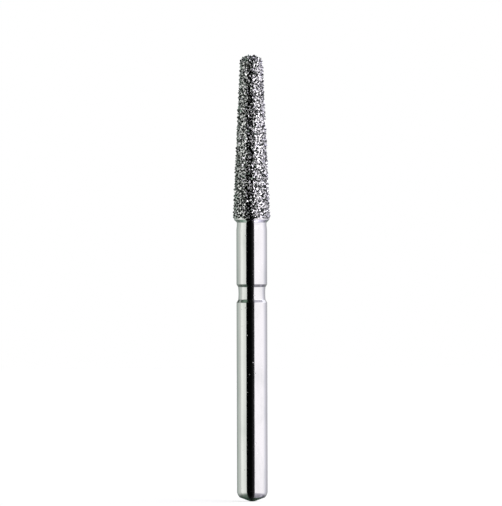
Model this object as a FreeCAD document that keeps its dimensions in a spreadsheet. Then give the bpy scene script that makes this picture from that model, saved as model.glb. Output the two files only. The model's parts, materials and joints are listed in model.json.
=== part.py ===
# Diamond dental bur: a turned steel blank, the nickel bond plated on its head, and the diamond
# crystals that stand out of the bond. Millimetres, +Z along the axis, origin at the shank's end.
import FreeCAD, Part
import Sketcher
import itertools
import math
import os
import random

# Alias, size in mm or degrees, and what it measures.
SIZES = [
    ("shank_dia", 1.60, "ground shank that the chuck grips"),
    ("pip_dia", 0.25, "flat left by the parting tool on the end cone"),
    ("cone_height", 0.20, "end cone, from the flat to the shoulder"),
    ("shoulder_step", 0.15, "how far inside the shank's surface the shoulder meets the end cone"),
    ("shoulder_height", 0.29, "rounded shoulder, from the end cone to the shank"),
    ("shoulder_radius", 0.50, "profile radius of the shoulder"),
    ("grip_length", 9.86, "cylinder from the shoulder to the groove"),
    ("groove_width", 0.96, "groove, measured at the shank's surface"),
    ("groove_depth", 0.105, "from the shank's surface to the middle of the groove's floor"),
    ("groove_dish", 3.0, "profile radius of the groove's dished floor"),
    ("groove_flank", 0.15, "length along the axis of each sloping flank"),
    ("groove_fillet", 0.07, "radius between a flank and the floor"),
    ("groove_break", 0.04, "rounded edge between a flank and the shank"),
    ("land_length", 2.84, "cylinder from the groove to the neck"),
    ("neck_taper", 0.23, "length along the axis of the taper into the relieved neck"),
    ("neck_length", 0.14, "cylindrical part of the neck"),
    ("neck_fillet", 0.03, "radius between the neck and the head's underside"),
    ("core_dia", 1.70, "steel core of the head at its wide end"),
    ("core_length", 8.53, "steel core, from its wide end to its crown"),
    ("underside_width", 0.076, "steel bevel under the head, from the neck out to the core's edge"),
    ("underside_angle", 45.0, "slope of that bevel, from the horizontal"),
    ("head_taper", 2.6, "slope of the head's side, from the axis"),
    ("crown_radius", 0.70, "profile radius over the core's tip"),
    ("corner_radius", 0.225, "profile radius between the core's side and its tip"),
    ("bond_thickness", 0.075, "nickel plated over the core"),
    ("rim_radius", 0.03, "rounded lower edge of the nickel"),
    ("grit_coarse", 0.195, "widest crystal, measured over the corners of its foot"),
    ("grit_fine", 0.125, "narrowest crystal, measured in the same way"),
    ("grit_gap", 0.004, "least room between two crystals"),
    ("grit_margin", 0.09, "bare bond between the lower edge and the first crystals"),
]

RING_MATCH = 1e-5  # how near, in mm, a circular edge lies to the ring that is looked for
DARTS = 18000  # thrown at the head to spread the crystals
SEED = 856
FOOT_ANGLES = (36, 54)  # from the middle of a crystal's foot to its corner, in degrees
RISES = (0.34, 0.48)  # how far a crystal stands out of the bond, as a share of its width
LEAN = 0.8  # how far its top may lie off its middle, as a share of the room for it
TOPS = [(0, 0), (0.45, 0), (0, 0), (0.4, 0.35)]  # point, ridge or block, as shares of the foot

doc = FreeCAD.newDocument("dental_bur")
sizes = doc.addObject("Spreadsheet::Sheet", "sizes")
for row, (alias, value, meaning) in enumerate(SIZES, 1):
    sizes.set(f"A{row}", meaning)
    sizes.set(f"B{row}", str(value))
    sizes.setAlias(f"B{row}", alias)
doc.recompute()


def size(alias):
    """A driving dimension as the sheet holds it."""
    return float(sizes.get(alias))


# Heights above the shank's end, as formulas on the sheet, for the constraints that start there.
GROOVE_START = "sizes.cone_height + sizes.shoulder_height + sizes.grip_length"
NECK_START = f"{GROOVE_START} + sizes.groove_width + sizes.land_length"
HEAD_START = f"{NECK_START} + sizes.neck_taper + sizes.neck_length"
CORE_START = f"{HEAD_START} + sizes.underside_width * tan(sizes.underside_angle * 1 deg)"


def groove_start():
    """Height of the groove's lower edge."""
    return size("cone_height") + size("shoulder_height") + size("grip_length")


def neck_start():
    """Height where the shank begins to narrow into the neck."""
    return groove_start() + size("groove_width") + size("land_length")


def head_start():
    """Height of the corner between the neck and the head's underside."""
    return neck_start() + size("neck_taper") + size("neck_length")


def core_start():
    """Height of the core's widest point, where its bevelled underside ends."""
    return head_start() + size("underside_width") * math.tan(math.radians(size("underside_angle")))


def neck_radius():
    """Radius of the neck, which the bevel's width takes off the core's."""
    return size("core_dia") / 2 - size("underside_width")


def groove_corners():
    """Where the groove's dished floor meets its flanks: the radius, and the two heights."""
    low = groove_start() + size("groove_flank")
    high = groove_start() + size("groove_width") - size("groove_flank")
    dish = size("groove_dish")
    sag = dish - math.sqrt(dish**2 - ((high - low) / 2) ** 2)
    return size("shank_dia") / 2 - size("groove_depth") + sag, low, high


class HeadOutline:
    """Half section of the head, as a shell of given thickness over the steel core.

    The side, the corner arc and the crown arc touch tangentially, and keep their centres at
    every thickness.
    """

    def __init__(self, thickness):
        slope = math.radians(size("head_taper"))
        bevel = math.radians(size("underside_angle"))
        outward = FreeCAD.Vector(math.cos(slope), math.sin(slope), 0)
        upward = FreeCAD.Vector(-math.sin(slope), math.cos(slope), 0)
        core_edge = FreeCAD.Vector(size("core_dia") / 2, core_start(), 0)
        along_bevel = FreeCAD.Vector(math.cos(bevel), math.sin(bevel), 0)
        crown_height = core_start() + size("core_length") - size("crown_radius")
        self.crown_centre = FreeCAD.Vector(0, crown_height, 0)
        reach = size("crown_radius") - size("corner_radius")
        start = core_edge - outward * size("corner_radius") - self.crown_centre
        lead = start.dot(upward)
        travel = math.sqrt(lead**2 - start.dot(start) + reach**2) - lead
        self.corner_centre = self.crown_centre + start + upward * travel
        self.crown = size("crown_radius") + thickness
        self.corner = size("corner_radius") + thickness
        self.edge = core_edge + along_bevel * (thickness / along_bevel.dot(outward))
        self.side_end = self.corner_centre + outward * self.corner
        towards_corner = (self.corner_centre - self.crown_centre) / reach
        self.corner_end = self.crown_centre + towards_corner * self.crown
        self.top = self.crown_centre + FreeCAD.Vector(0, self.crown, 0)

    def side(self):
        """The straight flank, from the lower edge upwards."""
        return Part.LineSegment(self.edge, self.side_end)

    def corner_arc(self):
        """The arc between the flank and the crown, in the direction of growing angle."""
        return arc_about(self.corner_centre, self.side_end, self.corner_end)

    def crown_arc(self):
        """The arc over the tip, from the corner to the axis."""
        return arc_about(self.crown_centre, self.corner_end, self.top)


def arc_about(centre, start, end):
    """A circle's arc in the sketch plane, anticlockwise from start to end."""
    circle = Part.Circle(centre, FreeCAD.Vector(0, 0, 1), (start - centre).Length)
    first = math.atan2(start.y - centre.y, start.x - centre.x)
    last = math.atan2(end.y - centre.y, end.x - centre.x)
    return Part.ArcOfCircle(circle, first, last)


def arc_through(start, end, radius):
    """An arc of given radius between two points, its centre on the axis side."""
    chord = end - start
    middle = (start + end) / 2
    inward = FreeCAD.Vector(-chord.y, chord.x, 0).normalize()
    depth = math.sqrt(radius**2 - (chord.Length / 2) ** 2)
    return arc_about(middle + inward * depth, start, end)


def half_section(body, name):
    """A sketch on the body's own XZ plane: its X is the radius and its Y the height."""
    sketch = body.newObject("Sketcher::SketchObject", name)
    plane = next(f for f in body.Origin.OriginFeatures if f.Role == "XZ_Plane")
    sketch.AttachmentSupport = [(plane, "")]
    sketch.MapMode = "FlatFace"
    return sketch


def bind(sketch, kind, *args, to):
    """Adds a dimension and ties it to a formula on the sheet."""
    number = sketch.addConstraint(Sketcher.Constraint(kind, *args))
    sketch.setExpression(f"Constraints[{number}]", to)


def fix(sketch, kind, *args):
    """Adds a constraint that has no size."""
    sketch.addConstraint(Sketcher.Constraint(kind, *args))


def turn(body, sketch, name):
    """Revolves a half section about the body's Z axis."""
    form = body.newObject("PartDesign::Revolution", name)
    form.Profile = sketch
    form.ReferenceAxis = (sketch, ["V_Axis"])
    form.Angle = 360
    sketch.Visibility = False
    doc.recompute()
    return form


def round_rings(body, base, name, heights_and_radii, radius):
    """Rounds the circular edges that lie at given heights and radii."""
    names = []
    for number, edge in enumerate(base.Shape.Edges, 1):
        if edge.Degenerated or not isinstance(edge.Curve, Part.Circle):
            continue
        spot = edge.Curve
        for height, ring in heights_and_radii:
            if max(abs(spot.Center.z - height), abs(spot.Radius - ring)) < RING_MATCH:
                names.append(f"Edge{number}")
    if len(names) != len(heights_and_radii):
        raise RuntimeError(f"{name} finds {len(names)} of its {len(heights_and_radii)} edges")
    fillet = body.newObject("PartDesign::Fillet", name)
    fillet.Base = (base, names)
    fillet.setExpression("Radius", radius)
    body.Tip = fillet
    doc.recompute()
    return fillet


START, END, CENTRE = range(1, 4)  # a sketch's numbers for the points of a line or an arc
ORIGIN, V_AXIS = range(-1, -3, -1)  # and for its own origin and upright axis


def blank_outline(body):
    """Half section of the turned blank, without the groove in its shank."""
    sketch = half_section(body, "blank_outline")
    shank = size("shank_dia") / 2
    neck = neck_radius()
    shoulder_top = size("cone_height") + size("shoulder_height")
    core = HeadOutline(0)
    corners = [
        FreeCAD.Vector(0, 0, 0),
        FreeCAD.Vector(size("pip_dia") / 2, 0, 0),
        FreeCAD.Vector(shank - size("shoulder_step"), size("cone_height"), 0),
        FreeCAD.Vector(shank, shoulder_top, 0),
        FreeCAD.Vector(shank, neck_start(), 0),
        FreeCAD.Vector(neck, neck_start() + size("neck_taper"), 0),
        FreeCAD.Vector(neck, head_start(), 0),
        core.edge,
    ]
    pip, cone, shoulder, shank_line, taper, neck_line, underside = range(7)
    side, corner, crown, axis = range(7, 11)
    geometry = [Part.LineSegment(a, b) for a, b in zip(corners, corners[1:])]
    geometry[shoulder] = arc_through(corners[2], corners[3], size("shoulder_radius"))
    geometry += [core.side(), core.corner_arc(), core.crown_arc()]
    geometry += [Part.LineSegment(core.top, corners[0])]
    sketch.addGeometry(geometry, False)
    for piece in (pip, cone, shoulder, shank_line, taper, neck_line, underside, crown):
        fix(sketch, "Coincident", piece, END, piece + 1, START)
    fix(sketch, "Tangent", side, END, corner, START)
    fix(sketch, "Tangent", corner, END, crown, START)
    fix(sketch, "Coincident", axis, END, pip, START)
    fix(sketch, "Coincident", pip, START, ORIGIN, START)
    fix(sketch, "Horizontal", pip)
    fix(sketch, "Vertical", shank_line)
    fix(sketch, "Vertical", neck_line)
    fix(sketch, "PointOnObject", crown, CENTRE, V_AXIS)
    fix(sketch, "PointOnObject", crown, END, V_AXIS)
    for piece, radius, formula in [
        (pip, size("pip_dia") / 2, "sizes.pip_dia / 2"),
        (cone, corners[2].x, "sizes.shank_dia / 2 - sizes.shoulder_step"),
        (shoulder, shank, "sizes.shank_dia / 2"),
        (taper, neck, "sizes.core_dia / 2 - sizes.underside_width"),
        (underside, size("core_dia") / 2, "sizes.core_dia / 2"),
    ]:
        bind(sketch, "DistanceX", ORIGIN, START, piece, END, radius, to=formula)
    for piece, length in [
        (cone, "cone_height"),
        (shoulder, "shoulder_height"),
        (taper, "neck_taper"),
        (neck_line, "neck_length"),
    ]:
        rise = size(length)
        bind(sketch, "DistanceY", piece, START, piece, END, rise, to=f"sizes.{length}")
    run = neck_start() - shoulder_top
    shank_length = "sizes.grip_length + sizes.groove_width + sizes.land_length"
    bind(sketch, "DistanceY", shank_line, START, shank_line, END, run, to=shank_length)
    core_length = size("core_length")
    bind(sketch, "DistanceY", side, START, crown, END, core_length, to="sizes.core_length")
    bevel = math.radians(size("underside_angle"))
    bind(sketch, "Angle", underside, bevel, to="sizes.underside_angle * 1 deg")
    slope = math.radians(90 + size("head_taper"))
    bind(sketch, "Angle", side, slope, to="(90 + sizes.head_taper) * 1 deg")
    for piece, radius in [
        (shoulder, "shoulder_radius"),
        (corner, "corner_radius"),
        (crown, "crown_radius"),
    ]:
        bind(sketch, "Radius", piece, size(radius), to=f"sizes.{radius}")
    return sketch


def groove_outline(body):
    """Section of the groove: a dished floor between two flanks, run past the shank's surface."""
    sketch = half_section(body, "groove_outline")
    shank = size("shank_dia") / 2
    floor, low, high = groove_corners()
    rims = [groove_start(), groove_start() + size("groove_width")]
    middle = sum(rims) / 2
    outer = size("shank_dia")
    flare = (low - rims[0]) / (shank - floor) * (outer - shank)
    centre = FreeCAD.Vector(shank - size("groove_depth") + size("groove_dish"), middle, 0)
    corners = [
        FreeCAD.Vector(floor, low, 0),
        FreeCAD.Vector(outer, rims[0] - flare, 0),
        FreeCAD.Vector(outer, rims[1] + flare, 0),
        FreeCAD.Vector(floor, high, 0),
    ]
    lower_flank, outside, upper_flank, dish, lower_rim, upper_rim = range(6)
    geometry = [Part.LineSegment(a, b) for a, b in zip(corners, corners[1:])]
    sketch.addGeometry(geometry + [arc_about(centre, corners[3], corners[0])], False)
    sketch.addGeometry([Part.Point(FreeCAD.Vector(shank, rim, 0)) for rim in rims], True)
    for piece in range(4):
        fix(sketch, "Coincident", piece, END, (piece + 1) % 4, START)
    fix(sketch, "Vertical", outside)
    fix(sketch, "PointOnObject", lower_rim, START, lower_flank)
    fix(sketch, "PointOnObject", upper_rim, START, upper_flank)
    bind(sketch, "Radius", dish, size("groove_dish"), to="sizes.groove_dish")
    shank_rim = "sizes.shank_dia / 2"
    for piece, point, distance, formula in [
        (lower_rim, START, shank, shank_rim),
        (upper_rim, START, shank, shank_rim),
        (outside, START, outer, "sizes.shank_dia"),
        (dish, CENTRE, centre.x, f"{shank_rim} - sizes.groove_depth + sizes.groove_dish"),
    ]:
        bind(sketch, "DistanceX", ORIGIN, START, piece, point, distance, to=formula)
    top = f"{GROOVE_START} + sizes.groove_width"
    for piece, point, distance, formula in [
        (lower_rim, START, rims[0], GROOVE_START),
        (upper_rim, START, rims[1], top),
        (lower_flank, START, low, f"{GROOVE_START} + sizes.groove_flank"),
        (upper_flank, END, high, f"{top} - sizes.groove_flank"),
        (dish, CENTRE, middle, f"{GROOVE_START} + sizes.groove_width / 2"),
    ]:
        bind(sketch, "DistanceY", ORIGIN, START, piece, point, distance, to=formula)
    return sketch


def steel_blank():
    """The blank, turned in one piece: end cone, shank, groove, neck and the head's core."""
    body = doc.addObject("PartDesign::Body", "steel_blank")
    turned = turn(body, blank_outline(body), "turned_form")
    whole = turned.Shape.Volume
    cut = body.newObject("PartDesign::Groove", "shank_groove")
    outline = groove_outline(body)
    cut.Profile = outline
    cut.ReferenceAxis = (outline, ["V_Axis"])
    cut.Angle = 360
    body.Tip = cut
    doc.recompute()
    if cut.Shape.Volume >= whole:
        raise RuntimeError("the shank's groove cuts nothing")
    floor, *heights = groove_corners()
    feet = [(height, floor) for height in heights]
    low = groove_start()
    rims = [(height, size("shank_dia") / 2) for height in (low, low + size("groove_width"))]
    foot = round_rings(body, cut, "groove_floor_fillet", feet, "sizes.groove_fillet")
    edge = round_rings(body, foot, "groove_edge_round", rims, "sizes.groove_break")
    neck = [(head_start(), neck_radius())]
    round_rings(body, edge, "neck_fillet", neck, "sizes.neck_fillet")
    return body


def bond_outline(body):
    """Half section of the nickel: a shell of even thickness, seated on the core's outline."""
    sketch = half_section(body, "bond_outline")
    inner = HeadOutline(0)
    outer = HeadOutline(size("bond_thickness"))
    rim, side, corner, crown, axis, seat_crown, seat_corner, seat_side = range(8)
    geometry = [
        Part.LineSegment(inner.edge, outer.edge),
        outer.side(),
        outer.corner_arc(),
        outer.crown_arc(),
        Part.LineSegment(outer.top, inner.top),
        inner.crown_arc(),
        inner.corner_arc(),
        inner.side(),
    ]
    sketch.addGeometry(geometry, False)
    fix(sketch, "Coincident", rim, END, side, START)
    fix(sketch, "Tangent", side, END, corner, START)
    fix(sketch, "Tangent", corner, END, crown, START)
    fix(sketch, "Coincident", crown, END, axis, START)
    fix(sketch, "Coincident", axis, END, seat_crown, END)
    fix(sketch, "Tangent", seat_crown, START, seat_corner, END)
    fix(sketch, "Tangent", seat_corner, START, seat_side, END)
    fix(sketch, "Coincident", seat_side, START, rim, START)
    fix(sketch, "PointOnObject", crown, END, V_AXIS)
    fix(sketch, "PointOnObject", seat_crown, END, V_AXIS)
    fix(sketch, "PointOnObject", seat_crown, CENTRE, V_AXIS)
    fix(sketch, "Coincident", crown, CENTRE, seat_crown, CENTRE)
    fix(sketch, "Coincident", corner, CENTRE, seat_corner, CENTRE)
    fix(sketch, "Parallel", side, seat_side)
    start = inner.edge
    bind(sketch, "DistanceX", ORIGIN, START, rim, START, start.x, to="sizes.core_dia / 2")
    bind(sketch, "DistanceY", ORIGIN, START, rim, START, start.y, to=CORE_START)
    rise = size("core_length")
    bind(sketch, "DistanceY", seat_side, START, seat_crown, END, rise, to="sizes.core_length")
    bevel = math.radians(size("underside_angle"))
    bind(sketch, "Angle", rim, bevel, to="sizes.underside_angle * 1 deg")
    slope = math.radians(90 + size("head_taper"))
    bind(sketch, "Angle", seat_side, slope, to="(90 + sizes.head_taper) * 1 deg")
    bind(sketch, "Radius", seat_crown, inner.crown, to="sizes.crown_radius")
    bind(sketch, "Radius", seat_corner, inner.corner, to="sizes.corner_radius")
    bind(sketch, "Radius", crown, outer.crown, to="sizes.crown_radius + sizes.bond_thickness")
    return sketch


def nickel_bond():
    """The nickel that holds the grit, plated over the whole head down to its bevel."""
    body = doc.addObject("PartDesign::Body", "nickel_bond")
    shell = turn(body, bond_outline(body), "plated_shell")
    edge = HeadOutline(size("bond_thickness")).edge
    round_rings(body, shell, "rim_round", [(edge.y, edge.x)], "sizes.rim_radius")
    return body


class Crystal:
    """A crystal half sunk in the bond, of which a leaning point, ridge or block stands out.

    Its foot is a rectangle in the bond's surface, whose corners lie half the width from its seat.
    """

    def __init__(self, seat, outward, width, draw):
        spin = FreeCAD.Rotation(FreeCAD.Vector(0, 1, 0), draw.uniform(0, 360))
        turned = FreeCAD.Rotation(FreeCAD.Vector(0, 1, 0), outward).multiply(spin)
        corner = math.radians(draw.uniform(*FOOT_ANGLES))
        self.seat = seat
        self.placement = FreeCAD.Placement(seat, turned)
        self.width = width
        self.across = width / 2 * math.cos(corner)
        self.along = width / 2 * math.sin(corner)
        self.sides = [
            (turned.multVec(FreeCAD.Vector(1, 0, 0)), self.across),
            (turned.multVec(FreeCAD.Vector(0, 0, 1)), self.along),
        ]

    def clears(self, other, gap):
        """Whether a straight gap in the surface parts the feet of the two crystals."""
        offset = other.seat - self.seat
        if offset.Length >= (self.width + other.width) / 2 + gap:
            return True
        sides = self.sides + other.sides
        for across, _ in sides:
            reach = sum(abs(across.dot(side)) * half for side, half in sides)
            if abs(across.dot(offset)) >= reach + gap:
                return True
        return False

    def solid(self, draw):
        """The part of the crystal that shows, with a top that lies off its middle."""
        flat_across, flat_along = draw.choice(TOPS)
        flat_across *= self.across
        flat_along *= self.along
        lean_across = (self.across - flat_across) * draw.uniform(-LEAN, LEAN)
        lean_along = (self.along - flat_along) * draw.uniform(-LEAN, LEAN)
        near_foot = (-self.across, 0, -self.along)
        near_top = (lean_along - flat_along, lean_across - flat_across)
        far_foot = (self.across, self.width * draw.uniform(*RISES), self.along)
        far_top = (lean_along + flat_along, lean_across + flat_across)
        form = Part.makeWedge(*near_foot, *near_top, *far_foot, *far_top)
        form.Placement = self.placement
        return form


class BondSurface:
    """The outside of the bond above its rim, from which places for crystals are drawn."""

    def __init__(self):
        outline = HeadOutline(size("bond_thickness"))
        curves = (outline.side(), outline.corner_arc(), outline.crown_arc())
        self.edges = [curve.toShape() for curve in curves]
        self.lowest = size("grit_margin") + size("rim_radius")
        self.length = sum(edge.Length for edge in self.edges)
        self.widest = outline.edge.x

    def spot(self, along):
        """Radius, height and heading of the outline at a length from its lower edge."""
        for edge in self.edges:
            if along <= edge.Length:
                break
            along -= edge.Length
        parameter = edge.getParameterByLength(min(along, edge.Length))
        return edge.valueAt(parameter), edge.tangentAt(parameter)

    def dart(self, draw):
        """A place and its outward direction, every part of the surface being as likely."""
        while True:
            place, heading = self.spot(draw.uniform(self.lowest, self.length))
            if draw.uniform(0, self.widest) <= place.x:
                break
        about = FreeCAD.Rotation(FreeCAD.Vector(0, 0, 1), draw.uniform(0, 360))
        outward = FreeCAD.Vector(heading.y, 0, -heading.x)
        return about.multVec(FreeCAD.Vector(place.x, 0, place.y)), about.multVec(outward)


def seated_crystals(draw):
    """Crystals over the whole bond, the largest thrown first and smaller ones between them."""
    surface = BondSurface()
    coarse = size("grit_coarse")
    fine = size("grit_fine")
    gap = size("grit_gap")
    cell = coarse + gap
    crystals = []
    homes = {}
    for dart in range(DARTS):
        width = coarse - (coarse - fine) * dart / DARTS
        seat, outward = surface.dart(draw)
        candidate = Crystal(seat, outward, width, draw)
        home = tuple(math.floor(c / cell) for c in seat)
        steps = itertools.product((-1, 0, 1), repeat=3)
        cells = [tuple(h + step for h, step in zip(home, move)) for move in steps]
        if all(candidate.clears(other, gap) for near in cells for other in homes.get(near, [])):
            homes.setdefault(home, []).append(candidate)
            crystals.append(candidate)
    return crystals


def diamond_crystals():
    """The grit: one layer of separate crystals, seated on the bond with their points outwards."""
    draw = random.Random(SEED)
    solids = [crystal.solid(draw) for crystal in seated_crystals(draw)]
    feature = doc.addObject("Part::Feature", "diamond_crystals")
    feature.Shape = Part.makeCompound(solids)
    feature.Placement = FreeCAD.Placement()
    return feature


def check(pieces):
    """Stops the build if a feature failed or a piece isn't a closed, valid solid."""
    for item in doc.Objects:
        if "Invalid" in item.State or "Error" in item.State:
            raise RuntimeError(f"{item.Name} failed: {item.State}")
        if item.TypeId == "Sketcher::SketchObject" and not item.FullyConstrained:
            raise RuntimeError(f"{item.Name} isn't fully constrained")
    for piece in pieces:
        shape = piece.Shape
        if shape.isNull() or not shape.isValid() or not shape.Solids:
            raise RuntimeError(f"{piece.Label} isn't a valid solid")


parts = [steel_blank(), nickel_bond(), diamond_crystals()]
for part in parts:
    part.Label = part.Name
doc.recompute()
check(parts)

os.makedirs("parts", exist_ok=True)
for part in parts:
    part.Shape.exportStep(f"parts/{part.Label}.step")
    print(part.Label, len(part.Shape.Solids), "solids", round(part.Shape.Volume, 4), "mm3")
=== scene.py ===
"""Looks of a diamond dental bur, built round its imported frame.

The bur is one turned steel blank, a nickel bond plated on its head, and diamond crystals that
stand out of the bond. Sizes are in millimetres, and MM turns them into Blender's metres.
"""

import itertools
import json
import logging
import math
import random
from collections.abc import Mapping, Sequence
from dataclasses import dataclass
from enum import Enum

import bmesh
import bpy
from mathutils import Matrix, Quaternion, Vector, kdtree, noise

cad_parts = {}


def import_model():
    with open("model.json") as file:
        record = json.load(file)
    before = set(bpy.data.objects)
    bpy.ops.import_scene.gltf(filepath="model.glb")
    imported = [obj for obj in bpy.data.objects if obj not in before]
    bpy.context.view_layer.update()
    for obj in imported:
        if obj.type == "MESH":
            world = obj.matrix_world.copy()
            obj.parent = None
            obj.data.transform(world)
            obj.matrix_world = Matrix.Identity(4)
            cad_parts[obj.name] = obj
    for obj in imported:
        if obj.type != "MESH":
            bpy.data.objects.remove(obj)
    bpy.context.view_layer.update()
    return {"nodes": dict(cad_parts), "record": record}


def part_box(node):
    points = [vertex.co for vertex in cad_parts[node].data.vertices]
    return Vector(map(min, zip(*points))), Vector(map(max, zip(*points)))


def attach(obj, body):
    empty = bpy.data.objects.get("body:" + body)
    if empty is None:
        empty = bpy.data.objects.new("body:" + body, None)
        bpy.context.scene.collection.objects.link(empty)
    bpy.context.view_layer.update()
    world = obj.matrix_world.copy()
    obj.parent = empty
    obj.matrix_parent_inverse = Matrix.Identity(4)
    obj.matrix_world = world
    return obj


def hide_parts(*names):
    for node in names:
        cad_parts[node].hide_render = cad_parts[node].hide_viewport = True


MM = 0.001
WHITE = (1.0, 1.0, 1.0, 1.0)
FULL_TURN = 2 * math.pi
# How far from a corner its support points lie, in lengths of the arc's own reach.
SUPPORT = 1.3
# Corners that lie closer than this, in metres, are one.
WELD = 1e-9
BODY = "root"

log = logging.getLogger("dental_bur")

Colour = tuple[float, float, float]
Band = tuple[float, float]
Number = "Value | float"


class Lit(Enum):
    """The kinds of ray that Light Path tells apart."""

    CAMERA = "Is Camera Ray"
    GLOSSY = "Is Glossy Ray"
    THROUGH = "Is Transmission Ray"


class Value:
    """A number on a node's output, with Python's operators for its maths."""

    def __init__(self, graph: "Graph", socket: bpy.types.NodeSocket) -> None:
        """Keeps the output and the graph that new nodes go into."""
        self.graph = graph
        self.socket = socket

    def _math(self, operation: str, *terms: Number) -> "Value":
        """Adds one Math node.

        Args:
            operation: The node's operation, in Blender's own word.
            terms: What its inputs take, in order.

        Returns:
            The node's result.
        """
        made = self.graph.node("ShaderNodeMath", {"operation": operation}, dict(enumerate(terms)))
        return Value(self.graph, made.outputs[0])

    def __add__(self, other: Number) -> "Value":
        """Sum."""
        return self._math("ADD", self, other)

    __radd__ = __add__

    def __sub__(self, other: Number) -> "Value":
        """Difference."""
        return self._math("SUBTRACT", self, other)

    def __rsub__(self, other: Number) -> "Value":
        """Difference, taken from a plain number."""
        return self._math("SUBTRACT", other, self)

    def __mul__(self, other: Number) -> "Value":
        """Product."""
        return self._math("MULTIPLY", self, other)

    __rmul__ = __mul__

    def __truediv__(self, other: Number) -> "Value":
        """Quotient."""
        return self._math("DIVIDE", self, other)

    def __pow__(self, other: Number) -> "Value":
        """Power."""
        return self._math("POWER", self, other)

    def __neg__(self) -> "Value":
        """The same number with the other sign."""
        return self * -1.0

    def at_least(self, other: Number) -> "Value":
        """The larger of the two."""
        return self._math("MAXIMUM", self, other)

    def angle_from(self, other: "Value") -> "Value":
        """The angle of the point (other, self), in degrees."""
        return self._math("ARCTAN2", self, other) * math.degrees(1)

    def rising(self, low: float, high: float) -> "Value":
        """A smooth step.

        Args:
            low: Where the step starts, at 0.
            high: Where it ends, at 1. It may be the smaller number.

        Returns:
            The step, between 0 and 1.
        """
        made = self.graph.node(
            "ShaderNodeMapRange",
            {"interpolation_type": "SMOOTHSTEP"},
            {"Value": self, "From Min": low, "From Max": high},
        )
        return Value(self.graph, made.outputs["Result"])

    def between(self, low: float, high: float) -> "Value":
        """The number put on the scale from low, at 0, to high, at 1."""
        return self * (high - low) + low


class Graph:
    """A shader's node tree, with one method that makes any node."""

    def __init__(self, tree: bpy.types.NodeTree) -> None:
        """Empties the tree."""
        self.tree = tree
        tree.nodes.clear()

    def node(
        self,
        kind: str,
        settings: Mapping[str, object] | None = None,
        inputs: Mapping[str | int, object] | None = None,
    ) -> bpy.types.Node:
        """Adds a node.

        Args:
            kind: The node's type.
            settings: Its properties, set first. A ramp's stops are pairs of place and colour.
            inputs: What its sockets take, by name or number: a value, a link or a Value.

        Returns:
            The node.
        """
        made = self.tree.nodes.new(kind)
        for name, setting in (settings or {}).items():
            if name == "stops":
                self._set_stops(made.color_ramp, setting)
            else:
                setattr(made, name, setting)
        for name, given in (inputs or {}).items():
            if isinstance(given, Value):
                given = given.socket
            if isinstance(given, bpy.types.NodeSocket):
                self.tree.links.new(given, made.inputs[name])
            else:
                made.inputs[name].default_value = given
        return made

    @staticmethod
    def _set_stops(ramp: bpy.types.ColorRamp, stops: Sequence[tuple[float, Colour]]) -> None:
        """Gives a colour ramp its stops, in order of place."""
        while len(ramp.elements) > 1:
            ramp.elements.remove(ramp.elements[-1])
        ramp.elements[0].position = stops[0][0]
        ramp.elements[0].color = (*stops[0][1], 1.0)
        for place, colour in stops[1:]:
            ramp.elements.new(place).color = (*colour, 1.0)

    def value(self, made: bpy.types.Node, output: str | int = 0) -> Value:
        """One of a node's outputs, as a Value."""
        return Value(self, made.outputs[output])

    def position(self) -> bpy.types.NodeSocket:
        """Object coordinates: the same place on the piece in every view."""
        return self.node("ShaderNodeTexCoord").outputs["Object"]

    def height(self) -> Value:
        """How high the place lies on the piece, in millimetres."""
        parted = self.node("ShaderNodeSeparateXYZ", {}, {0: self.position()})
        return Value(self, parted.outputs[2]) / MM

    def noise(
        self,
        grain: float,
        stretch: tuple[float, float, float] | None = None,
        detail: float = 2.0,
    ) -> Value:
        """Smooth noise between 0 and 1.

        Args:
            grain: Width of one blot, in millimetres.
            stretch: How many times as fine it is along X, Y and Z.
            detail: How many finer layers lie over the first.

        Returns:
            The noise.
        """
        place = self.position()
        if stretch is not None:
            place = self.node(
                "ShaderNodeMapping", {}, {"Vector": place, "Scale": stretch}
            ).outputs["Vector"]
        made = self.node(
            "ShaderNodeTexNoise",
            {"noise_dimensions": "3D"},
            {"Vector": place, "Scale": 1 / (grain * MM), "Detail": detail},
        )
        return Value(self, made.outputs[0])

    def cells(self, width: float, output: str) -> Value:
        """Random cells.

        Args:
            width: About how wide a cell is, in millimetres.
            output: "Distance" from the cell's middle, or its own random "Color".

        Returns:
            The distance in cell widths, or the colour's grey.
        """
        made = self.node(
            "ShaderNodeTexVoronoi", {}, {"Vector": self.position(), "Scale": 1 / (width * MM)}
        )
        return Value(self, made.outputs[output])

    def mix(self, share: Number, low: object, high: object) -> bpy.types.NodeSocket:
        """Mixes two colours.

        Args:
            share: 0 for the first colour and 1 for the second.
            low: The first colour, or a link to one.
            high: The second colour, or a link to one.

        Returns:
            The mixed colour's socket.
        """
        ends = [(*end, 1.0) if isinstance(end, tuple) else end for end in (low, high)]
        made = self.node(
            "ShaderNodeMix",
            {"data_type": "RGBA", "clamp_result": False},
            {0: share, 6: ends[0], 7: ends[1]},
        )
        return made.outputs[2]

    def scaled(self, colour: bpy.types.NodeSocket, factor: Number) -> bpy.types.NodeSocket:
        """A colour times a number."""
        made = self.node("ShaderNodeVectorMath", {"operation": "SCALE"}, {0: colour, 3: factor})
        return made.outputs[0]

    def bump(self, height: Number, depth: float) -> bpy.types.NodeSocket:
        """A bump whose height of 1 stands a given depth in millimetres out of the surface."""
        made = self.node("ShaderNodeBump", {}, {"Height": height, "Distance": depth * MM})
        return made.outputs["Normal"]


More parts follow.
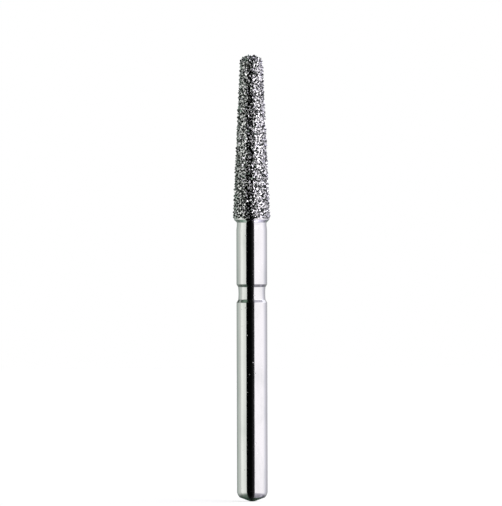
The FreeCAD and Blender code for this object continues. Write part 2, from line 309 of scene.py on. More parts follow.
def finish_material(name: str, metallic: float, ior: float) -> tuple[bpy.types.Material, Graph]:
    """Starts a material with one Principled surface.

    Args:
        name: The material's name.
        metallic: How much of it is metal.
        ior: Its index of refraction.

    Returns:
        The material, and its graph with the Principled node named "surface".
    """
    material = bpy.data.materials.new(name)
    material.use_nodes = True
    graph = Graph(material.node_tree)
    surface = graph.node(
        "ShaderNodeBsdfPrincipled", {"name": "surface"}, {"Metallic": metallic, "IOR": ior}
    )
    graph.node("ShaderNodeOutputMaterial", {}, {"Surface": surface.outputs["BSDF"]})
    return material, graph


def dress(graph: Graph, **sockets: object) -> None:
    """Feeds the Principled surface's sockets.

    Args:
        graph: The material's graph.
        sockets: Value or link for each socket, whose name has _ for a space.
    """
    surface = graph.tree.nodes["surface"]
    for name, given in sockets.items():
        source = given.socket if isinstance(given, Value) else given
        graph.tree.links.new(source, surface.inputs[name.replace("_", " ")])


@dataclass(frozen=True)
class GroundSteel:
    """Ground and polished steel, with a faint waviness and a few small pits.

    The end cone, its shoulder and the groove's flanks are rougher and carry painted shade: a
    dark colour that stands in for the shade and dark reflections on them. A band says where a
    smooth step starts and ends.
    """

    colour: Colour = (0.80, 0.80, 0.795)
    smear: Colour = (0.70, 0.71, 0.70)
    smear_grain: float = 0.7
    smear_stretch: tuple[float, float, float] = (1.0, 1.0, 0.35)
    smear_band: Band = (0.45, 0.75)
    # Painted shade: a dark colour on the end cone, shoulder and groove flanks, with its own
    # roughness.
    painted_shade: Colour = (0.17, 0.18, 0.168)
    painted_shade_roughness: float = 0.22
    shaded_end: Band = (0.40, 0.20)
    shaded_flanks: tuple[Band, ...] = ((10.33, 10.53), (11.15, 11.31))
    shade_blend: float = 0.03
    flank_share: float = 0.56
    scuff_grain: float = 0.12
    scuff_band: Band = (0.35, 0.75)
    smoothest: float = 0.05
    roughest: float = 0.13
    wave_grain: float = 0.16
    wave_stretch: tuple[float, float, float] = (1.0, 1.0, 0.8)
    wave_depth: float = 0.0011
    ring_grain: float = 0.03
    ring_wander: float = 2.0
    ring_depth: float = 0.00008
    pit_spacing: float = 0.30
    pit_reach: float = 0.12
    pit_depth: float = 0.006

    def material(self) -> bpy.types.Material:
        """The steel's material."""
        made, graph = finish_material("ground_steel", metallic=1.0, ior=2.5)
        smears = graph.noise(self.smear_grain, self.smear_stretch, detail=4.0)
        scuffs = graph.noise(self.scuff_grain, detail=3.0)
        waves = graph.noise(self.wave_grain, self.wave_stretch)
        around = 1 / self.ring_wander
        rings = graph.noise(1.0, (around, around, 1 / self.ring_grain), detail=1.0)
        pits = graph.cells(self.pit_spacing, "Distance").rising(self.pit_reach, 0.0)
        height = waves * self.wave_depth + rings * self.ring_depth - pits * self.pit_depth
        # Painted shade darkens the end cone, shoulder and groove flanks.
        painted_shade = self._painted_shade(graph)
        ground = scuffs.rising(*self.scuff_band).between(self.smoothest, self.roughest)
        polish = graph.mix(smears.rising(*self.smear_band), self.colour, self.smear)
        dress(
            graph,
            Base_Color=graph.mix(painted_shade, polish, self.painted_shade),
            Roughness=ground + painted_shade * (self.painted_shade_roughness - ground),
            Normal=graph.bump(height, depth=1.0),
        )
        return made

    def _painted_shade(self, graph: Graph) -> Value:
        """Where painted shade darkens the steel: 1 there and 0 elsewhere."""
        height = graph.height()
        painted_shade = height.rising(*self.shaded_end)
        for low, high in self.shaded_flanks:
            foot = height.rising(low, low + self.shade_blend)
            flank = foot * height.rising(high, high - self.shade_blend)
            painted_shade = painted_shade + flank * self.flank_share
        return painted_shade


@dataclass(frozen=True)
class PlatedNickel:
    """Nickel built up round the grit: bright knobs, with painted shade in dark patches."""

    bright: Colour = (0.93, 0.925, 0.93)
    # Painted shade: near-black patches that stand in for the shadowed pits between the grit.
    painted_pit_shade: Colour = (0.024, 0.029, 0.025)
    rim: Colour = (0.74, 0.74, 0.74)
    bare_up_to: Band = (14.76, 14.70)
    pit_shade_grain: float = 0.085
    pit_shade_band: Band = (0.46, 0.50)
    dull_grain: float = 0.10
    dull_band: Band = (0.35, 0.7)
    smoothest: float = 0.05
    roughest: float = 0.20
    knob_grain: float = 0.085
    knob_depth: float = 0.010

    def material(self) -> bpy.types.Material:
        """The nickel's material."""
        made, graph = finish_material("plated_nickel", metallic=1.0, ior=2.0)
        # Painted shade: where this noise runs high, the nickel turns near-black, for shadowed pits.
        pit_shade_mask = graph.noise(self.pit_shade_grain, detail=4.0).rising(*self.pit_shade_band)
        dulling = graph.noise(self.dull_grain, detail=1.0).rising(*self.dull_band)
        knobs = graph.noise(self.knob_grain, detail=1.0)
        grown = graph.mix(pit_shade_mask, self.bright, self.painted_pit_shade)
        dress(
            graph,
            Base_Color=graph.mix(graph.height().rising(*self.bare_up_to), grown, self.rim),
            Roughness=dulling.between(self.smoothest, self.roughest),
            Normal=graph.bump(knobs, self.knob_depth),
        )
        return made


@dataclass(frozen=True)
class DiamondGrit:
    """Diamond chips: some cells flash like mirrors, and the rest are dark."""

    flashing: Colour = (0.95, 0.95, 0.96)
    dark: Colour = (0.016, 0.020, 0.017)
    chip: float = 0.052
    flash_band: Band = (0.51, 0.54)
    fleck_grain: float = 0.08
    fleck_band: Band = (0.4, 0.7)
    smoothest: float = 0.03
    roughest: float = 0.10
    ripple_grain: float = 0.05
    ripple_depth: float = 0.005

    def material(self) -> bpy.types.Material:
        """The crystals' material."""
        made, graph = finish_material("diamond_grit", metallic=1.0, ior=1.4)
        flash = graph.cells(self.chip, "Color").rising(*self.flash_band)
        flecks = graph.noise(self.fleck_grain, detail=1.0).rising(*self.fleck_band)
        ripples = graph.noise(self.ripple_grain, detail=1.0)
        dress(
            graph,
            Base_Color=graph.mix(flash, self.dark, self.flashing),
            Metallic=flash,
            Roughness=flecks.between(self.smoothest, self.roughest),
            Normal=graph.bump(ripples, self.ripple_depth),
        )
        return made


@dataclass(frozen=True)
class Corner:
    """A point of a turned profile, and the radius that rounds it."""

    radius: float
    height: float
    rounding: float = 0.0

    def spot(self) -> Vector:
        """The point as a vector of radius and height."""
        return Vector((self.radius, self.height))


def arc(centre: Vector, start: Vector, end: Vector, steps: int) -> list[Corner]:
    """Points on a circle's arc, the shorter way round.

    Args:
        centre: The circle's centre.
        start: The arc's first point.
        end: The arc's last point.
        steps: How many stretches the arc has.

    Returns:
        The points, from the first to the last.
    """
    first = math.atan2(start.y - centre.y, start.x - centre.x)
    sweep = math.atan2(end.y - centre.y, end.x - centre.x) - first
    sweep = (sweep + math.pi) % FULL_TURN - math.pi
    reach = (start - centre).length
    angles = [first + sweep * step / steps for step in range(steps + 1)]
    return [
        Corner(centre.x + reach * math.cos(angle), centre.y + reach * math.sin(angle))
        for angle in angles
    ]


def chord_arc(start: Vector, end: Vector, radius: float, steps: int) -> list[Corner]:
    """Points on an arc between two points, with its centre on the left of the way from one to
    the other, or on the right where the radius is negative.

    Args:
        start: The arc's first point.
        end: The arc's last point.
        radius: The arc's radius, with its sign.
        steps: How many stretches the arc has.

    Returns:
        The points, from the first to the last.
    """
    chord = end - start
    left = Vector((-chord.y, chord.x)).normalized()
    depth = math.sqrt(radius**2 - (chord.length / 2) ** 2)
    centre = (start + end) / 2 + left * math.copysign(depth, radius)
    return arc(centre, start, end, steps)


def rounded(corners: Sequence[Corner], steps: int = 6) -> list[Corner]:
    """Puts an arc in place of each corner that has a rounding.

    A point just before and after each arc keeps the shading of the straight stretches flat.

    Args:
        corners: The profile's corners, in order.
        steps: How many stretches each arc has.

    Returns:
        The profile with its arcs.
    """
    profile = [corners[0]]
    for before, corner, after in zip(corners, corners[1:], corners[2:]):
        if not corner.rounding:
            profile.append(corner)
            continue
        spot = corner.spot()
        back = (before.spot() - spot).normalized()
        ahead = (after.spot() - spot).normalized()
        half = back.angle(ahead) / 2
        reach = corner.rounding / math.tan(half)
        centre = spot + (back + ahead).normalized() * (corner.rounding / math.sin(half))
        curve = arc(centre, spot + back * reach, spot + ahead * reach, steps)
        lead_in = spot + back * reach * SUPPORT
        lead_out = spot + ahead * reach * SUPPORT
        profile += [Corner(*lead_in), *curve, Corner(*lead_out)]
    return [*profile, corners[-1]]


def divided(profile: Sequence[Corner], longest: float) -> list[Corner]:
    """Cuts a profile's stretches so that none is longer than a given length."""
    made = [profile[0]]
    for start, end in zip(profile, profile[1:]):
        run = end.spot() - start.spot()
        count = max(1, math.ceil(run.length / longest))
        for step in range(1, count + 1):
            spot = start.spot() + run * (step / count)
            made.append(Corner(spot.x, spot.y))
    return made


def turned(profile: Sequence[Corner], segments: int) -> bmesh.types.BMesh:
    """Spins a profile about the Z axis.

    Args:
        profile: The half section, which starts and ends on the axis or closes on itself.
        segments: How many stretches the full turn has.

    Returns:
        The closed mesh, in metres.
    """
    mesh = bmesh.new()
    spots = [mesh.verts.new((corner.radius * MM, 0, corner.height * MM)) for corner in profile]
    edges = [mesh.edges.new(pair) for pair in zip(spots, spots[1:])]
    if profile[0].radius > 0:
        edges.append(mesh.edges.new((spots[-1], spots[0])))
    bmesh.ops.spin(
        mesh,
        geom=spots + edges,
        cent=(0, 0, 0),
        axis=(0, 0, 1),
        angle=FULL_TURN,
        steps=segments,
        use_merge=True,
    )
    bmesh.ops.remove_doubles(mesh, verts=mesh.verts, dist=WELD)
    bmesh.ops.recalc_face_normals(mesh, faces=mesh.faces)
    return mesh


def as_object(name: str, mesh: bmesh.types.BMesh, material: bpy.types.Material) -> bpy.types.Object:
    """Makes an object at the origin from a mesh.

    Args:
        name: The object's name.
        mesh: The mesh, which is freed.
        material: Its material.

    Returns:
        The object, in the scene.
    """
    data = bpy.data.meshes.new(name)
    mesh.to_mesh(data)
    mesh.free()
    data.materials.append(material)
    made = bpy.data.objects.new(name, data)
    bpy.context.scene.collection.objects.link(made)
    log.info("%s: %d faces", name, len(data.polygons))
    return made


def smoothed(piece: bpy.types.Object, sharpest: float) -> None:
    """Shades a piece smooth, apart from edges that turn by more than an angle in degrees."""
    piece.data.shade_smooth()
    piece.data.set_sharp_from_angle(angle=math.radians(sharpest))


@dataclass(frozen=True)
class HeadForm:
    """Outline of the head: a tapered side, a corner arc and a crown arc that touch each other."""

    edge_radius: float = 0.85
    edge_height: float = 14.596
    taper: float = 2.6
    length: float = 8.53
    crown: float = 0.70
    corner: float = 0.225
    bevel: float = 45.0
    bond: float = 0.075
    core_steps: int = 12

    def core(self) -> list[Corner]:
        """The outline of the steel core, where the bond sits."""
        return self.outline(0.0, self.core_steps)

    def outline(self, thickness: float, arc_steps: int) -> list[Corner]:
        """The head's outline at a distance from the steel core.

        Args:
            thickness: How far it lies outside the core.
            arc_steps: How many stretches each arc has.

        Returns:
            Its points, from the lower edge to the tip.
        """
        slope = math.radians(self.taper)
        outward = Vector((math.cos(slope), math.sin(slope)))
        upward = Vector((-math.sin(slope), math.cos(slope)))
        core_edge = Vector((self.edge_radius, self.edge_height))
        crown_centre = Vector((0, self.edge_height + self.length - self.crown))
        reach = self.crown - self.corner
        start = core_edge - outward * self.corner - crown_centre
        lead = start.dot(upward)
        travel = math.sqrt(lead**2 - start.length_squared + reach**2) - lead
        corner_centre = crown_centre + start + upward * travel
        bevel = Vector((math.cos(math.radians(self.bevel)), math.sin(math.radians(self.bevel))))
        edge = core_edge + bevel * (thickness / bevel.dot(outward))
        side_end = corner_centre + outward * (self.corner + thickness)
        towards = (corner_centre - crown_centre) / reach
        corner_end = crown_centre + towards * (self.crown + thickness)
        top = crown_centre + Vector((0, self.crown + thickness))
        return [
            Corner(*edge),
            *arc(corner_centre, side_end, corner_end, arc_steps),
            *arc(crown_centre, corner_end, top, arc_steps)[1:-1],
            Corner(0.0, top.y),
        ]


@dataclass
class SteelBlank:
    """The turned blank: end cone, shoulder, grooved shank, neck and the head's core."""

    finish: GroundSteel
    head: HeadForm
    shank: float
    pip: float = 0.125
    pip_rounding: float = 0.02
    cone: float = 0.20
    shoulder_step: float = 0.15
    shoulder_height: float = 0.29
    shoulder_profile: float = 0.50
    shoulder_steps: int = 12
    groove_low: float = 10.35
    groove_high: float = 11.31
    groove_flank: float = 0.15
    groove_depth: float = 0.105
    groove_dish: float = 3.0
    dish_steps: int = 6
    groove_fillet: float = 0.07
    groove_break: float = 0.04
    neck_low: float = 14.15
    neck_break: float = 0.10
    neck_taper: float = 0.23
    neck_ease: float = 0.05
    neck_high: float = 14.52
    neck: float = 0.774
    neck_fillet: float = 0.03
    longest_run: float = 0.6
    segments: int = 288
    sharpest: float = 14.0

    def profile(self) -> list[Corner]:
        """The blank's half section, from the pip at its end to the core's tip."""
        cone_edge = Vector((self.shank - self.shoulder_step, self.cone))
        shoulder_top = Vector((self.shank, self.cone + self.shoulder_height))
        half_floor = (self.groove_high - self.groove_low) / 2 - self.groove_flank
        sag = self.groove_dish - math.sqrt(self.groove_dish**2 - half_floor**2)
        floor = self.shank - self.groove_depth + sag
        low = Vector((floor, self.groove_low + self.groove_flank))
        high = Vector((floor, self.groove_high - self.groove_flank))
        dish = chord_arc(low, high, -self.groove_dish, self.dish_steps)
        return rounded([
            Corner(0.0, 0.0),
            Corner(self.pip, 0.0, self.pip_rounding),
            *chord_arc(cone_edge, shoulder_top, self.shoulder_profile, self.shoulder_steps),
            Corner(self.shank, self.groove_low, self.groove_break),
            Corner(*low, self.groove_fillet),
            *dish[1:-1],
            Corner(*high, self.groove_fillet),
            Corner(self.shank, self.groove_high, self.groove_break),
            Corner(self.shank, self.neck_low, self.neck_break),
            Corner(self.neck, self.neck_low + self.neck_taper, self.neck_ease),
            Corner(self.neck, self.neck_high, self.neck_fillet),
            *self.head.core(),
        ])

    def build(self) -> bpy.types.Object:
        """Spins and dresses the blank.

        Returns:
            The blank, which stands for its CAD node.
        """
        mesh = turned(divided(self.profile(), self.longest_run), self.segments)
        piece = as_object("turned_blank", mesh, self.finish.material())
        smoothed(piece, self.sharpest)
        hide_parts("steel_blank")
        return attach(piece, BODY)


@dataclass
class NickelBond:
    """The nickel shell over the core, swollen between and round the crystals."""

    finish: PlatedNickel
    head: HeadForm
    crystals: kdtree.KDTree
    rim: float = 0.03
    stretch: float = 0.032
    arc_steps: int = 14
    segments: int = 190
    sharpest: float = 40.0
    swell: float = 0.020
    swell_grain: float = 0.17
    swell_fading: float = 0.6
    swell_fining: float = 2.0
    swell_layers: int = 2
    climb: float = 0.022
    climb_reach: float = 0.045
    bare_rim: float = 0.09
    bare_share: float = 0.3

    def build(self) -> bpy.types.Object:
        """Spins the shell, swells its outside and dresses it.

        Returns:
            The bond, which stands for its CAD node.
        """
        edge, *rest = self.head.outline(self.head.bond, self.arc_steps)
        outside = [Corner(edge.radius, edge.height, self.rim), *rest]
        seat = self.head.core()
        outer = divided(rounded([seat[0], *outside]), self.stretch)
        mesh = turned([*outer, *reversed(seat[1:])], self.segments)
        self._swell(mesh, edge.height)
        piece = as_object("nickel_shell", mesh, self.finish.material())
        smoothed(piece, self.sharpest)
        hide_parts("nickel_bond")
        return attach(piece, BODY)

    def _swell(self, mesh: bmesh.types.BMesh, lowest: float) -> None:
        """Lifts the shell's outside into knobs, except near its bare lower rim.

        Args:
            mesh: The shell, in metres.
            lowest: Height of the shell's lower edge.
        """
        mesh.normal_update()
        middle = self.head.outline(self.head.bond / 2, 1)
        side, shoulder = middle[0], middle[1]
        lean = (side.radius - shoulder.radius) / (shoulder.height - side.height)
        for vertex in mesh.verts:
            height = vertex.co.z / MM
            radius = vertex.co.xy.length / MM
            on_side = radius > side.radius - lean * (height - side.height)
            if not on_side and height < shoulder.height:
                continue
            if height >= shoulder.height and vertex.normal.z < 0 and radius < shoulder.radius:
                continue
            rise = min(max((height - lowest) / self.bare_rim - self.bare_share, 0.0), 1.0)
            spot = vertex.co / (self.swell_grain * MM)
            lump = noise.fractal(
                spot, self.swell_fading, self.swell_fining, self.swell_layers
            )
            gap = self.crystals.find(vertex.co / MM)[2]
            collar = self.climb * math.exp(-((gap / self.climb_reach) ** 2))
            vertex.co += vertex.normal * ((self.swell * lump + collar) * rise * MM)


@dataclass
class FineGrit:
    """Smaller chips that fill the room between the crystals of the CAD node."""

    finish: bpy.types.Material
    head: HeadForm
    crystals: kdtree.KDTree
    arc_steps: int = 10
    darts: int = 12000
    widest: float = 0.12
    narrowest: float = 0.05
    clear_of_large: float = 0.72
    clear_of_small: float = 0.46
    margin: float = 0.07
    lift: float = 0.01
    tilt: float = 14.0
    kinds: int = 12
    block: float = 0.62
    corner_cut: Band = (0.12, 0.30)
    unevenness: float = 0.05
    seed: int = 41

    def _seats(self, draw: random.Random) -> list[tuple[Vector, Vector, float]]:
        """Places for the chips.

        Args:
            draw: The source of chance.

        Returns:
            For each chip its seat on the bond, the way out of the bond, and its width, all in
            millimetres.
        """
        surface = self.head.outline(self.head.bond, self.arc_steps)
        outline = [corner.spot() for corner in surface]
        runs = list(zip(outline, outline[1:]))
        reach = sum((end - start).length for start, end in runs)
        seats = []
        taken: dict[tuple[int, ...], list[tuple[Vector, float]]] = {}
        for dart in range(self.darts):
            width = self.widest + (self.narrowest - self.widest) * dart / self.darts
            spot, heading = self._at(runs, draw.uniform(self.margin, reach))
            about = Quaternion((0, 0, 1), draw.uniform(0, FULL_TURN))
            luck = draw.uniform(0, outline[0].x)
            seat = about @ Vector((spot.x, 0, spot.y))
            if luck > spot.x or self.crystals.find(seat)[2] < width * self.clear_of_large:
                continue
            cell = tuple(math.floor(part / self.widest) for part in seat)
            near = itertools.product(*((part - 1, part, part + 1) for part in cell))
            others = itertools.chain.from_iterable(taken.get(place, ()) for place in near)
            if any((seat - other).length < (width + wide) * self.clear_of_small
                   for other, wide in others):
                continue
            taken.setdefault(cell, []).append((seat, width))
            seats.append((seat, about @ Vector((heading.y, 0, -heading.x)), width))
        return seats

    @staticmethod
    def _at(runs: Sequence[tuple[Vector, Vector]], along: float) -> tuple[Vector, Vector]:
        """The point of an outline at a length from its start, and the outline's heading there."""
        for start, end in runs:
            run = end - start
            if along <= run.length:
                break
            along -= run.length
        return start + run.normalized() * along, run.normalized()

    def _chip(self, draw: random.Random) -> bpy.types.Mesh:
        """One kind of chip: a block 1 m wide with its corners cut off."""
        mesh = bmesh.new()
        block = bmesh.ops.create_cube(mesh, size=self.block)["verts"]
        bmesh.ops.bevel(
            mesh,
            geom=block,
            affect="VERTICES",
            offset=draw.uniform(*self.corner_cut),
            segments=1,
            profile=0.5,
            material=-1,
            clamp_overlap=True,
        )
        reach = self.unevenness
        for vertex in mesh.verts:
            vertex.co += Vector([draw.uniform(-reach, reach) for _ in range(3)])
        chip = bpy.data.meshes.new("chip")
        mesh.to_mesh(chip)
        mesh.free()
        return chip

    def build(self) -> bpy.types.Object:
        """Seats the chips, each with its own tilt, and dresses them.

        Returns:
            The chips, as one piece.
        """
        draw = random.Random(self.seed)
        chips = [self._chip(draw) for _ in range(self.kinds)]
        mesh = bmesh.new()
        for seat, outward, width in self._seats(draw):
            chip = draw.choice(chips).copy()
            hinge = Vector((draw.gauss(0, 1), draw.gauss(0, 1), 0.0))
            tilt = Quaternion(hinge, math.radians(draw.gauss(0, self.tilt)))
            spin = Quaternion((0, 0, 1), draw.uniform(0, FULL_TURN))
            turn = outward.to_track_quat("Z", "Y") @ tilt @ spin
            middle = seat + outward * width * self.lift
            place = Matrix.Translation(middle * MM) @ turn.to_matrix().to_4x4()
            chip.transform(place @ Matrix.Scale(width * MM, 4))
            mesh.from_mesh(chip)
            bpy.data.meshes.remove(chip)
        bmesh.ops.recalc_face_normals(mesh, faces=mesh.faces)
        for chip in chips:
            bpy.data.meshes.remove(chip)
        piece = as_object("fine_grit", mesh, self.finish)
        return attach(piece, BODY)


def corners_of(node: str) -> kdtree.KDTree:
    """A search tree of a CAD node's vertices, in millimetres."""
    spots = bpy.data.objects[node].data.vertices
    tree = kdtree.KDTree(len(spots))
    for number, vertex in enumerate(spots):
        tree.insert(vertex.co / MM, number)
    tree.balance()
    return tree


@dataclass(frozen=True)
class Glow:
    """Light, or a share of it, that comes from one angle."""

    angle: float
    level: float
    tint: Colour = (1.0, 1.0, 1.0)


CREAM = (0.975, 1.0, 0.95)
MOSS = (0.90, 1.0, 0.93)
LILAC = (1.0, 0.967, 1.015)
SLATE = (0.97, 0.95, 1.05)
PINE = (0.72, 1.0, 0.82)


@dataclass
class Studio:
    """A light tent: a wide softbox on each side, a black ribbon round the camera, grey behind.

    Bearings are in degrees from the camera's side of the bur, and grow towards its right.
    Climbs are in degrees from the level, and grow upwards. The ribbon's places run from -1 to 1
    across the bur. A band says where a smooth step starts and ends.
    """

    brightest: float = 3.2
    plain: float = 0.95
    side_blend: float = 0.25
    bounce: float = 1.4
    bounce_bearing: Band = (86.0, 100.0)
    bounce_climb: Band = (-36.0, -46.0)
    dusk: Colour = (0.035, 0.055, 0.042)
    dusk_bearing: Band = (150.0, 166.0)
    dusk_top: Band = (-4.0, -12.0)
    dusk_foot: Band = (-62.0, -48.0)
    ribbon_left: float = 0.69
    ribbon_right: float = 0.325
    left_softness: float = 0.02
    right_softness: float = 0.05
    left_spread: float = 2.4
    right_spread: float = 1.4
    spread_foot: Band = (14.0, 22.0)
    spread_top: Band = (42.0, 36.0)
    ring_span: float = 360.0
    climb_span: float = 180.0
    ribbon_span: float = 2.0
    ring: tuple[Glow, ...] = (
        Glow(-180, 0.45),
        Glow(-148, 0.40, MOSS),
        Glow(-122, 0.60, MOSS),
        Glow(-106, 0.68, CREAM),
        Glow(-96, 0.71, CREAM),
        Glow(-90, 1.04, CREAM),
        Glow(-75, 1.08, CREAM),
        Glow(-66, 0.98, CREAM),
        Glow(-57, 0.92, CREAM),
        Glow(-48, 0.86, CREAM),
        Glow(-20, 0.84, CREAM),
        Glow(10, 1.20, LILAC),
        Glow(86, 1.20, LILAC),
        Glow(96, 1.15, LILAC),
        Glow(107, 0.98, SLATE),
        Glow(121, 0.75, SLATE),
        Glow(140, 0.55, SLATE),
        Glow(180, 0.45),
    )
    left_climb: tuple[Glow, ...] = (
        Glow(-90, 0.70, MOSS),
        Glow(-74, 0.45, MOSS),
        Glow(-52, 0.20, PINE),
        Glow(-38, 0.29, MOSS),
        Glow(-15, 0.97),
        Glow(14, 1.0),
        Glow(17, 0.30, MOSS),
        Glow(23, 0.10, PINE),
        Glow(26, 1.2),
        Glow(33, 1.2),
        Glow(36, 0.10, PINE),
        Glow(45, 0.46, PINE),
        Glow(66, 0.46, PINE),
        Glow(90, 0.05, PINE),
    )
    right_climb: tuple[Glow, ...] = (
        Glow(-90, 1.15, SLATE),
        Glow(-74, 0.75, SLATE),
        Glow(-52, 0.42, SLATE),
        Glow(-34, 0.45, SLATE),
        Glow(-20, 0.96),
        Glow(13, 1.03),
        Glow(16, 2.6),
        Glow(20, 3.2),
        Glow(33, 3.2),
        Glow(38, 1.0, SLATE),
        Glow(66, 1.0, SLATE),
        Glow(90, 0.50, SLATE),
    )
    ribbon: tuple[Glow, ...] = (
        Glow(-0.7, 0.0030, PINE),
        Glow(-0.5, 0.0008, PINE),
        Glow(-0.1, 0.0012, PINE),
        Glow(0.1, 0.0120, SLATE),
        Glow(0.35, 0.0450, SLATE),
    )
    floor_reach: float = 420.0
    floor_albedo: float = 0.45
    floor_glow: float = 0.75
    floor_segments: int = 96

    def build(self) -> None:
        """Makes the world and the floor."""
        self._world()
        self._floor()

    def _world(self) -> None:
        """White to the camera, and the light tent to everything else."""
        world = bpy.data.worlds.new("light_tent")
        bpy.context.scene.world = world
        world.use_nodes = True
        graph = Graph(world.node_tree)
        path = graph.node("ShaderNodeLightPath")
        mirrored = graph.value(path, Lit.GLOSSY.value) + graph.value(path, Lit.THROUGH.value)
        tent = graph.node(
            "ShaderNodeBackground",
            {},
            {"Color": self._tent(graph), "Strength": mirrored.between(self.plain, 1.0)},
        )
        white = graph.node("ShaderNodeBackground", {}, {"Color": WHITE, "Strength": 1.0})
        shown = graph.node(
            "ShaderNodeMixShader",
            {},
            {0: path.outputs[Lit.CAMERA.value], 1: tent.outputs[0], 2: white.outputs[0]},
        )
        graph.node("ShaderNodeOutputWorld", {}, {"Surface": shown.outputs[0]})

    def _glow(
        self, graph: Graph, angle: Value, glows: Sequence[Glow], span: float
    ) -> bpy.types.NodeSocket:
        """Light that changes with an angle.

        Args:
            graph: The world's graph.
            angle: The angle.
            glows: The light at some angles, in order.
            span: How much the angle changes in all, half of it below 0.

        Returns:
            The light's colour, which is 1 at the tent's brightest.
        """
        stops = []
        for glow in glows:
            colour = tuple(glow.level * part / self.brightest for part in glow.tint)
            stops.append((glow.angle / span + 0.5, colour))
        ramp = graph.node("ShaderNodeValToRGB", {"stops": stops}, {"Fac": angle / span + 0.5})
        return ramp.outputs["Color"]

    def _tent(self, graph: Graph) -> bpy.types.NodeSocket:
        """The light that comes from each direction.

        Args:
            graph: The world's graph.

        Returns:
            The light's colour.
        """
        way = graph.node(
            "ShaderNodeSeparateXYZ", {}, {0: graph.node("ShaderNodeTexCoord").outputs["Generated"]}
        )
        right, away, up = (graph.value(way, axis) for axis in range(3))
        near = -away
        bearing = right.angle_from(near)
        climb = up.angle_from((right * right + near * near) ** 0.5)
        ring = self._glow(graph, bearing, self.ring, self.ring_span)
        climbs = graph.mix(
            right.rising(-self.side_blend, self.side_blend),
            self._glow(graph, climb, self.left_climb, self.climb_span),
            self._glow(graph, climb, self.right_climb, self.climb_span),
        )
        light = graph.node("ShaderNodeVectorMath", {"operation": "MULTIPLY"}, {0: ring, 1: climbs})
        # The bearing's square is the same on both sides of the bur.
        square = bearing * bearing
        bounce = square.rising(*(angle**2 for angle in self.bounce_bearing))
        bounce = bounce * climb.rising(*self.bounce_climb)
        strength = (bounce * self.bounce + 1.0) * self.brightest
        light = graph.scaled(light.outputs[0], strength)
        behind = square.rising(*(angle**2 for angle in self.dusk_bearing))
        under = climb.rising(*self.dusk_top) * climb.rising(*self.dusk_foot)
        light = graph.mix(behind * under, light, self.dusk)
        # Where a mirror on the bur's side shows this direction, from -1 at left to 1 at right.
        # The small numbers keep the quotients finite straight up, down and behind.
        turn = near / ((near * near + up * up) ** 0.5).at_least(1e-4)
        across = right / (turn * 0.5 + 0.5).at_least(0.02)
        wide = climb.rising(*self.spread_foot) * climb.rising(*self.spread_top)
        leftmost = wide.between(self.ribbon_left, self.ribbon_left * self.left_spread)
        rightmost = wide.between(self.ribbon_right, self.ribbon_right * self.right_spread)
        inside = (across + leftmost).rising(-self.left_softness, self.left_softness)
        fall = (across - rightmost).rising(self.right_softness, -self.right_softness)
        ribbon = self._glow(graph, across, self.ribbon, self.ribbon_span)
        return graph.scaled(graph.mix(inside * fall, light, ribbon), self.brightest)

    def _floor(self) -> None:
        """A pale floor that shows its white and the bur's shadow to the camera alone."""
        mesh = bmesh.new()
        bmesh.ops.create_circle(
            mesh,
            cap_ends=True,
            cap_tris=False,
            segments=self.floor_segments,
            radius=self.floor_reach * MM,
        )
        material = bpy.data.materials.new("pale_floor")
        material.use_nodes = True
        graph = Graph(material.node_tree)
        paper = graph.node(
            "ShaderNodeBsdfDiffuse", {}, {"Color": (*[self.floor_albedo] * 3, 1.0)}
        )
        glow = graph.node(
            "ShaderNodeEmission", {}, {"Color": WHITE, "Strength": self.floor_glow}
        )
        lit = graph.node("ShaderNodeAddShader", {}, {0: paper.outputs[0], 1: glow.outputs[0]})
        clear = graph.node("ShaderNodeBsdfTransparent")
        side = graph.node("ShaderNodeNewGeometry").outputs["Backfacing"]
        shown = graph.node(
            "ShaderNodeMixShader", {}, {0: side, 1: lit.outputs[0], 2: clear.outputs[0]}
        )
        graph.node("ShaderNodeOutputMaterial", {}, {"Surface": shown.outputs[0]})
        floor = as_object("floor", mesh, material)
        floor.visible_glossy = False
        floor.visible_diffuse = False
        floor.visible_shadow = False


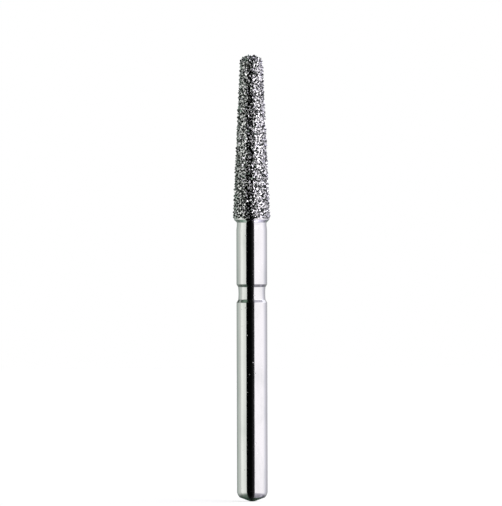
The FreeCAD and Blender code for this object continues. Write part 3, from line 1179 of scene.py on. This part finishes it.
@dataclass(frozen=True)
class Viewpoint:
    """The photograph's view: level, through a long lens, with the bur's ends at known pixels."""

    wide: float = 502.0
    high: float = 506.0
    tip: tuple[float, float] = (251.25, 54.2)
    end: tuple[float, float] = (252.35, 501.3)
    lens: float = 500.0
    sensor: float = 36.0
    nearest_m: float = 0.01
    farthest_m: float = 10.0

    def build(self, top: float) -> None:
        """Places the camera.

        Args:
            top: The height of the bur's tip, in millimetres.
        """
        drop = Vector(self.end) - Vector(self.tip)
        scale = top / drop.length
        roll = math.atan2(drop.x, drop.y)
        middle = (Vector(self.end) + Vector(self.tip)) / 2
        off = (middle - Vector((self.wide, self.high)) / 2) * scale
        distance = self.lens / self.sensor * max(self.wide, self.high) * scale
        spin = Quaternion((0, 1, 0), roll)
        aim = Vector((0, 0, top / 2)) - spin @ Vector((off.x, 0, -off.y))
        lens = bpy.data.cameras.new("long_lens")
        lens.lens = self.lens
        lens.sensor_width = self.sensor
        lens.clip_start = self.nearest_m
        lens.clip_end = self.farthest_m
        camera = bpy.data.objects.new("long_lens", lens)
        camera.rotation_mode = "QUATERNION"
        camera.rotation_quaternion = spin @ Quaternion((1, 0, 0), math.pi / 2)
        camera.location = (aim - Vector((0, distance, 0))) * MM
        bpy.context.scene.collection.objects.link(camera)
        bpy.context.scene.camera = camera


def main() -> None:
    """Builds the bur round its frame, then the studio and the camera."""
    logging.basicConfig(level=logging.INFO, format="%(name)s: %(message)s")
    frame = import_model()
    bpy.context.scene.view_settings.view_transform = "Standard"
    shank = frame["record"]["mounts"][0]["dims"]["r_mm"]
    head = HeadForm()
    SteelBlank(GroundSteel(), head, shank).build()
    crystal_corners = corners_of("diamond_crystals")
    NickelBond(PlatedNickel(), head, crystal_corners).build()
    grit = DiamondGrit().material()
    crystals = frame["nodes"]["diamond_crystals"]
    crystals.data.materials.clear()
    crystals.data.materials.append(grit)
    log.info("diamond_crystals: %d faces", len(crystals.data.polygons))
    FineGrit(grit, head, crystal_corners).build()
    Studio().build()
    Viewpoint().build(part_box("diamond_crystals")[1].z / MM)


if __name__ == "__main__":
    main()
